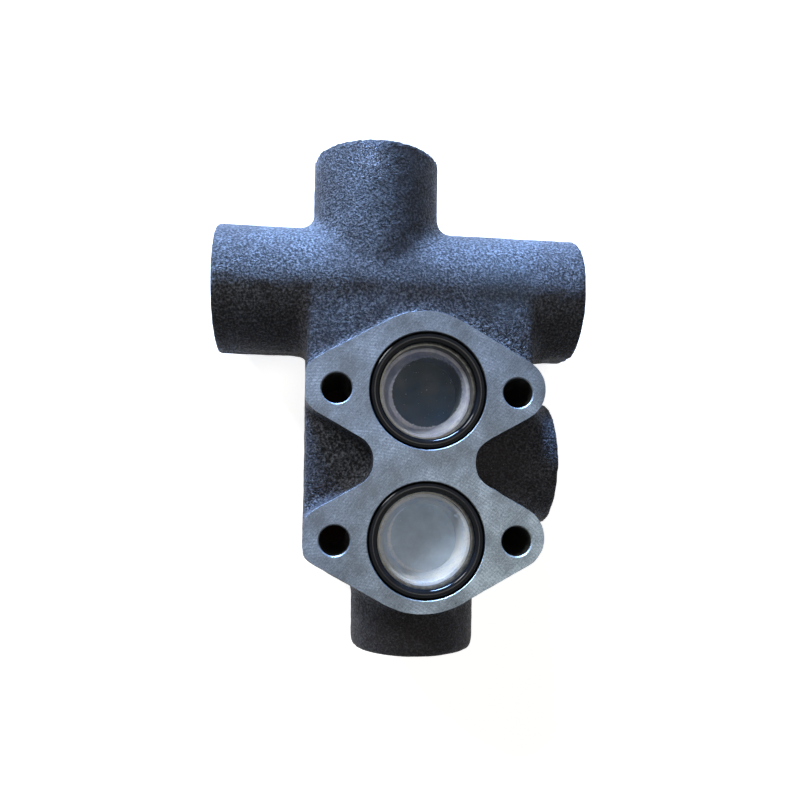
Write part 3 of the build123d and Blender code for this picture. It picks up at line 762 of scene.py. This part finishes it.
# Nitrile rubber, wet with oil: deep black with a thin hard shine and a few dull, dusty places. The
# oil lies in 5 mm pools, and the moulded skin's grain is drawn at 0.8 mm to show
def oiledRubber():
    material, tree, here = startMaterial("oiledNitrileRubber")
    film = addNode(tree, "TexNoise", {
        "Vector": here, "Scale": 1 / (5 * mm), "Detail": 3.0, "Roughness": 0.6})["Fac"]
    skin = addNode(tree, "TexNoise", {
        "Vector": here, "Scale": 1 / (0.8 * mm), "Detail": 2.0, "Roughness": 0.5})["Fac"]
    tone = addNode(tree, "ValToRGB", {"Fac": film}, [(0.35, "050608"), (0.7, "0E1013")])[0]
    rough = addNode(tree, "MapRange", {
        "Value": film, "From Min": 0.35, "From Max": 0.7, "To Min": 0.07, "To Max": 0.17})[0]
    bump = addNode(tree, "Bump", {"Height": skin, "Strength": 0.12, "Distance": 0.05 * mm})[0]
    finishMaterial(tree, {
        "Base Color": tone, "Roughness": rough, "Normal": bump, "Specular IOR Level": 0.16})
    return material


# The two cups are one part. The upper cup's web and wall are painted darker as painted shade, deep
# in its port, and the lower cup's lighter; the foot tones are painted light on the wall's shaded
# foot
plugFinishes = {
    "upper_shipping_plug": {
        "name": "upperShadedNaturalPolyethylene", "portY": portY, "webSpot": (1.3, portY + 1.0, 0),
        "web": [(0.0, "30506E"), (1.0, "1C3340")], "footLight": [(0.3, "78828C"), (0.7, "808A94")],
        "wall": [(0.3, "B4BCDA"), (0.7, "EAF0FF")],
    },
    "lower_shipping_plug": {
        "name": "lowerLitNaturalPolyethylene", "portY": -portY, "webSpot": (1.2, 0.6 - portY, 0),
        "web": [(0.0, "DAECFF"), (1.0, "BCD4EA")], "footLight": [(0.3, "E8F4FF"), (0.7, "F8FCFF")],
        "wall": [(0.3, "D8E8FF"), (0.7, "F4FAFF")],
    },
}


# Natural polyethylene cup: milky and waxy where the wall is thick. Its floor is a thin web that
# lets the dark bore show through, with a ragged, speckled edge where the mould was trimmed. The
# web's tone is also painted shade, darker at its upper side and in the upper cup, and the upper
# cup's wall is painted darker as painted shade. The web isn't quite in the middle; the wall's foot
# is painted lighter, painted light, where the web's tone reaches it on one side
def naturalPolyethylene(finish):
    material, tree, here = startMaterial(finish["name"])
    spot = addNode(tree, "SeparateXYZ", {0: here})

    # chalky crumbs of trimmed plastic, drawn at 0.9 mm to show, and 6 mm clouds in the wall
    crumbs = addNode(tree, "TexNoise", {
        "Vector": here, "Scale": 1 / (0.9 * mm), "Detail": 3.0, "Roughness": 0.65})["Fac"]
    milk = addNode(tree, "TexNoise", {
        "Vector": here, "Scale": 1 / (6 * mm), "Detail": 3.0, "Roughness": 0.55})["Fac"]

    # the web, from its lower to its upper side, darker upward as painted shade, and the foot of the
    # wall where the web's tone reaches it, painted lighter as painted light
    webHalf = 12
    across = addNode(tree, "MapRange", {
        "Value": spot["Y"], "From Min": (finish["portY"] - webHalf) * mm,
        "From Max": (finish["portY"] + webHalf) * mm, "To Min": 0.0, "To Max": 1.0})[0]
    webTone = addNode(tree, "ValToRGB", {"Fac": across}, finish["web"])[0]
    cloudy = addNode(tree, "ValToRGB", {"Fac": milk}, [(0.3, "B4B8BE"), (0.7, "FFFFFF")])[0]
    webTone = addNode(tree, "Mix", {0: 0.5, 6: webTone, 7: cloudy},
                      data_type="RGBA", blend_type="MULTIPLY")[2]
    # painted light: the shaded foot of the wall is lightened where the web's tone reaches it
    footLight = addNode(tree, "MapRange", {
        "Value": distanceFrom(tree, here, (0, finish["portY"], 0), (1, 1, 0)),
        "From Min": 12.1 * mm, "From Max": 12.3 * mm, "To Min": 0.0, "To Max": 1.0})[0]
    footLightTone = addNode(tree, "ValToRGB", {"Fac": milk}, finish["footLight"])[0]
    webTone = addNode(tree, "Mix", {0: footLight, 6: webTone, 7: footLightTone}, data_type="RGBA")[2]

    # the wall, and the web's ragged edge on it
    wallTone = addNode(tree, "ValToRGB", {"Fac": milk}, finish["wall"])[0]
    chalk = addNode(tree, "ValToRGB", {"Fac": crumbs}, [(0.25, "B9C4D2"), (0.5, "FFFFFF")])[0]
    wallTone = addNode(tree, "Mix", {0: 0.5, 6: wallTone, 7: chalk},
                       data_type="RGBA", blend_type="MULTIPLY")[2]
    reach = distanceFrom(tree, here, finish["webSpot"], (1, 1, 0))
    fray = addNode(tree, "Math", {0: crumbs, 1: 0.4 * mm}, operation="MULTIPLY")[0]
    ragged = addNode(tree, "Math", {0: reach, 1: fray}, operation="ADD")[0]
    web = addNode(tree, "MapRange", {
        "Value": ragged,
        "From Min": 12.35 * mm, "From Max": 12.60 * mm, "To Min": 1.0, "To Max": 0.0})[0]
    colour = addNode(tree, "Mix", {0: web, 6: wallTone, 7: webTone}, data_type="RGBA")[2]

    # pale specks, most of them at that edge
    offEdge = addNode(tree, "Math", {0: reach, 1: 12.5 * mm}, operation="SUBTRACT")[0]
    offEdge = addNode(tree, "Math", {0: offEdge}, operation="ABSOLUTE")[0]
    rim = addNode(tree, "MapRange", {
        "Value": offEdge,
        "From Min": 0.15 * mm, "From Max": 0.6 * mm, "To Min": 0.16, "To Max": 0.0})[0]
    speckled = addNode(tree, "Math", {0: crumbs, 1: rim}, operation="ADD")[0]
    speck = addNode(tree, "MapRange", {
        "Value": speckled, "From Min": 0.68, "From Max": 0.74, "To Min": 0.0, "To Max": 0.85})[0]
    speckTone = addNode(tree, "ValToRGB", {"Fac": milk}, [(0.4, "DCE8FF"), (0.6, "F4F8FF")])[0]
    colour = addNode(tree, "Mix", {0: speck, 6: colour, 7: speckTone}, data_type="RGBA")[2]
    rough = addNode(tree, "MapRange", {
        "Value": milk, "From Min": 0.3, "From Max": 0.7, "To Min": 0.28, "To Max": 0.42})[0]
    bump = addNode(tree, "Bump", {"Height": milk, "Strength": 0.2, "Distance": 0.1 * mm})[0]
    finishMaterial(tree, {
        "Base Color": colour, "Roughness": rough, "Normal": bump, "Specular IOR Level": 0.15,
        "Subsurface Weight": 0.5, "Subsurface Radius": (1.0, 1.0, 1.0), "Subsurface Scale": 6 * mm})
    return material


steelFinishes = {
    "blackOxide": {"tones": [(0.32, "121316"), (0.68, "2C2E33")], "metallic": 0.55, "pitch": 0.9},
    "ground": {"tones": [(0.32, "7C7F84"), (0.68, "B4B8BD")], "metallic": 0.9, "pitch": 0.6},
    "springWire": {"tones": [(0.32, "3C3D40"), (0.68, "7A7C80")], "metallic": 0.85, "pitch": 0.5},
}


# Turned or ground steel parts under oil; the grain runs in fine rings about the part's own axis.
# Real marks of 0.1 to 0.2 mm are too fine to show, so the pitch is 0.5 to 0.9 mm
def turnedSteel(name, finish, spot, weights):
    material, tree, here = startMaterial(name)
    cloud = addNode(tree, "TexNoise", {
        "Vector": here, "Scale": 1 / (4 * mm), "Detail": 4.0, "Roughness": 0.6})["Fac"]
    angle = addNode(tree, "Math", {
        0: distanceFrom(tree, here, spot, weights), 1: 2 * math.pi / (finish["pitch"] * mm)},
        operation="MULTIPLY")[0]
    wave = addNode(tree, "Math", {0: angle}, operation="SINE")[0]
    rings = addNode(tree, "MapRange", {
        "Value": wave, "From Min": -1.0, "From Max": 1.0, "To Min": -0.06, "To Max": 0.06})[0]
    mixed = addNode(tree, "Math", {0: cloud, 1: rings}, operation="ADD")[0]
    tone = addNode(tree, "ValToRGB", {"Fac": mixed}, finish["tones"])[0]
    rough = addNode(tree, "MapRange", {
        "Value": cloud, "From Min": 0.3, "From Max": 0.7, "To Min": 0.28, "To Max": 0.44})[0]
    bump = addNode(tree, "Bump", {"Height": mixed, "Strength": 0.3, "Distance": 0.04 * mm})[0]
    finishMaterial(tree, {
        "Base Color": tone, "Roughness": rough, "Normal": bump, "Metallic": finish["metallic"]})
    return material


# The milling cutter leaves the pad's outline with a thin bright broken edge
def breakPadEdge(body):
    level, upright = 0.999, 0.6        # how far up a normal points, on the flat and on its sides
    clear = 2                          # the drilled edges, and this far round them, are left alone
    flats, sides = set(), set()
    for face in body.data.polygons:
        if face.normal.z > level and abs(face.center.z) < tiny:
            flats.update(face.edge_keys)
        elif face.normal.z < upright:
            sides.update(face.edge_keys)
    outline = flats & sides
    holes = [(x, y, machining["recess"] + clear) for x, y in portSpots]
    holes += [(x, y, machining["bolt"] + clear) for x, y in boltSpots]
    spots = body.data.vertices
    pickVertices(body, lambda vertex: False)
    for edge in body.data.edges:
        if edge.key in outline:
            a = spots[edge.vertices[0]].co / mm
            if all(math.hypot(a.x - x, a.y - y) > radius for x, y, radius in holes):
                edge.select = True
                for i in edge.vertices:
                    spots[i].select = True
    inEditMode(body, "EDGE", lambda: bpy.ops.mesh.bevel(
        offset=castSizes["padBurr"] * mm, segments=1, affect="EDGES", clamp_overlap=True))


# Machined faces lie within these radii and depths, a little over those of the tool that cut them
machinedReach = {
    "flat": 0.02, "recess": 20.3, "portFloor": 1, "bolt": 5.9, "backSpot": 8.7, "backDepth": 1,
    "port": 20.9, "portDepth": 20.2, "plug": 19.5,
}


# Tells the milled face and the bored faces from the cast skin by where they lie
def paintBody(body):
    m, c, r = machining, castSizes, machinedReach
    body.data.materials.clear()
    for material in (castSkin(), milledFace(), boredIron()):
        body.data.materials.append(material)
    skin, milled, bored = range(3)

    arm, outlet, relief, check = (
        [(c[key], coreZ)] for key in ("armY", "outletX", "reliefX", "checkY"))
    leftEnd, rightEnd = c["armLeft"] + r["portDepth"], c["armRight"] - r["portDepth"]

    def near(first, second, spots, radius):
        return any(math.hypot(first - a, second - b) < radius for a, b in spots)

    def isBored(x, y, z):
        return (
            (z > -m["portDepth"] - r["portFloor"] and near(x, y, portSpots, r["recess"]))
            or near(x, y, boltSpots, r["bolt"])
            or (z < c["back"] + r["backDepth"] and near(x, y, boltSpots, r["backSpot"]))
            or (not leftEnd <= x <= rightEnd and near(y, z, arm, r["port"]))
            or (y < c["outletEnd"] + r["portDepth"] and near(x, z, outlet, r["port"]))
            or (y > m["reliefCounter"] and near(x, z, relief, r["plug"]))
            or (x > m["checkCounter"] and near(y, z, check, r["plug"])))

    for face in body.data.polygons:
        x, y, z = face.center / mm
        if z > -c["padBurr"] - r["flat"]:
            face.material_index = milled
        else:
            face.material_index = bored if isBored(x, y, z) else skin


def buildBody():
    body = buildCastShape()
    meltFillets(body, castSizes["foundryFillet"])
    trimEnds(body)
    joinPieces([body, buildPad()], "castValveBody")
    applyModifier(body, "REMESH", mode="VOXEL", voxel_size=castSizes["voxel"] * mm)
    flattenEars(body)
    applyModifier(body, "REMESH", mode="VOXEL", voxel_size=castSizes["voxel"] * mm)
    applyModifier(body, "SMOOTH", factor=0.5, iterations=2)
    roughenSkin(body)
    machineBody(body)
    breakPadEdge(body)
    activate(body)
    bpy.ops.object.shade_smooth_by_angle(angle=math.radians(castSizes["smoothAngle"]))
    paintBody(body)
    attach(body, "block")
    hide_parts("valve_body")
    print("casting done", len(body.data.vertices), "points")


buildBody()


# Straight port threads, cut in the casting: one helical ridge of female thread in each open port

threadSizes = {
    "pitch": 2.117,                    # 12 turns to the inch
    "root": 16.95, "rootHalf": 1.0,    # the ridge's foot is sunk 0.2 mm in the wall of the bore
    "crest": 15.62, "crestHalf": 0.16,
    "turns": 7, "inset": 2.4, "steps": 72, "endSlack": 0.05, "smoothAngle": 30,
}


# The ridge runs along +Z from the origin; its section is drawn in the XZ plane and screwed round
def threadRidge():
    t = threadSizes
    deselectAll()
    bpy.ops.mesh.primitive_circle_add(
        vertices=4, radius=mm, fill_type="NOTHING", rotation=(math.pi / 2, 0, 0))
    ridge = settle(bpy.context.object)
    corners = [(t["root"], -t["rootHalf"]), (t["crest"], -t["crestHalf"]),
               (t["crest"], t["crestHalf"]), (t["root"], t["rootHalf"])]
    for vertex, (radius, height) in zip(ridge.data.vertices, corners):
        vertex.co = Vector((radius, 0, height)) * mm
    applyModifier(ridge, "SCREW", axis="Z", angle=2 * math.pi, screw_offset=t["pitch"] * mm,
                  iterations=t["turns"], steps=t["steps"], render_steps=t["steps"],
                  use_merge_vertices=False)
    for height in (0, t["turns"] * t["pitch"]):
        pickVertices(ridge, lambda vertex: abs(vertex.co.y) < tiny and vertex.co.x > 0
                     and abs(vertex.co.z / mm - height) < t["rootHalf"] + t["endSlack"])
        inEditMode(ridge, "VERT", bpy.ops.mesh.edge_face_add)
    inEditMode(ridge, "EDGE", lambda: bpy.ops.mesh.normals_make_consistent(inside=False),
               everything=True)
    return ridge


def buildThreads():
    c = castSizes
    iron = boredIron()
    master = threadRidge()
    spots = {
        "leftPortThread": ("X", 1, (c["armLeft"], c["armY"], coreZ)),
        "rightPortThread": ("X", -1, (c["armRight"], c["armY"], coreZ)),
        "outletPortThread": ("Y", 1, (c["outletX"], c["outletEnd"], coreZ)),
    }
    for name, (axis, inward, mouth) in spots.items():
        thread = master.copy()
        thread.data = master.data.copy()
        thread.name = name
        bpy.context.scene.collection.objects.link(thread)
        aim = alongOf[axis] * inward
        thread.rotation_euler = aim.to_track_quat("Z", "Y").to_euler()
        thread.location = (Vector(mouth) + aim * threadSizes["inset"]) * mm
        settle(thread)
        thread.data.materials.clear()
        thread.data.materials.append(iron)
        activate(thread)
        bpy.ops.object.shade_smooth_by_angle(angle=math.radians(threadSizes["smoothAngle"]))
        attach(thread, "block")
    bpy.data.objects.remove(master)
    print("threads done", len(spots))


buildThreads()


# Nodes of the solid model that keep their shape get their surface here

def dressNodes():
    c = castSizes
    reliefLine = ((c["reliefX"], 0, coreZ), (1, 0, 1))
    checkLine = ((0, c["checkY"], coreZ), (0, 1, 1))
    black, ground, wire = (steelFinishes[name] for name in ("blackOxide", "ground", "springWire"))
    rubber = oiledRubber()
    surfaces = {node: naturalPolyethylene(finish) for node, finish in plugFinishes.items()}
    blackReliefSteel = turnedSteel("blackOxideReliefPlug", black, *reliefLine)
    blackCheckSteel = turnedSteel("blackOxideCheckPlug", black, *checkLine)
    groundReliefSteel = turnedSteel("groundReliefSteel", ground, *reliefLine)
    groundCheckSteel = turnedSteel("groundCheckSteel", ground, *checkLine)
    reliefWire = turnedSteel("oiledReliefSpringWire", wire, *reliefLine)
    checkWire = turnedSteel("oiledCheckSpringWire", wire, *checkLine)
    surfaces.update({
        "upper_face_seal": rubber, "lower_face_seal": rubber, "relief_bonnet_seal": rubber,
        "adjuster_seal": rubber, "check_plug_seal": rubber,
        "relief_seat": groundReliefSteel, "relief_poppet": groundReliefSteel,
        "relief_sleeve": groundReliefSteel, "relief_spring_seat": groundReliefSteel,
        "spring_shim": reliefWire, "relief_spring": reliefWire,
        "relief_bonnet": blackReliefSteel, "adjusting_screw": blackReliefSteel,
        "adjuster_lock_nut": blackReliefSteel, "check_plug": blackCheckSteel,
        "check_seat": groundCheckSteel, "check_poppet": groundCheckSteel, "check_spring": checkWire,
    })
    for name, material in surfaces.items():
        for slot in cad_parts[name].material_slots:
            slot.material = material
    print("nodes dressed", len(surfaces))


dressNodes()


# The springs shorten as their poppets lift. A copy of each solid coil stands in for it here, on the
# body that carries it

springCoils = {
    "reliefSpringCoil": {"node": "relief_spring", "body": "spring_carriage", "joint": "relief_lift",
                         "axis": (0, 1, 0), "travel": 4.0},
    "checkSpringCoil": {"node": "check_spring", "body": "block", "joint": "check_lift",
                        "axis": (1, 0, 0), "travel": 5.0},
}


def buildSprings():
    for name, spring in springCoils.items():
        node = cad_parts[spring["node"]]
        coil = bpy.data.objects.new(name, node.data.copy())
        coil.data.transform(node.matrix_world)
        bpy.context.scene.collection.objects.link(coil)
        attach(coil, spring["body"])
        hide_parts(spring["node"])
        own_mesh(coil)
    print("springs done", len(springCoils))


buildSprings()
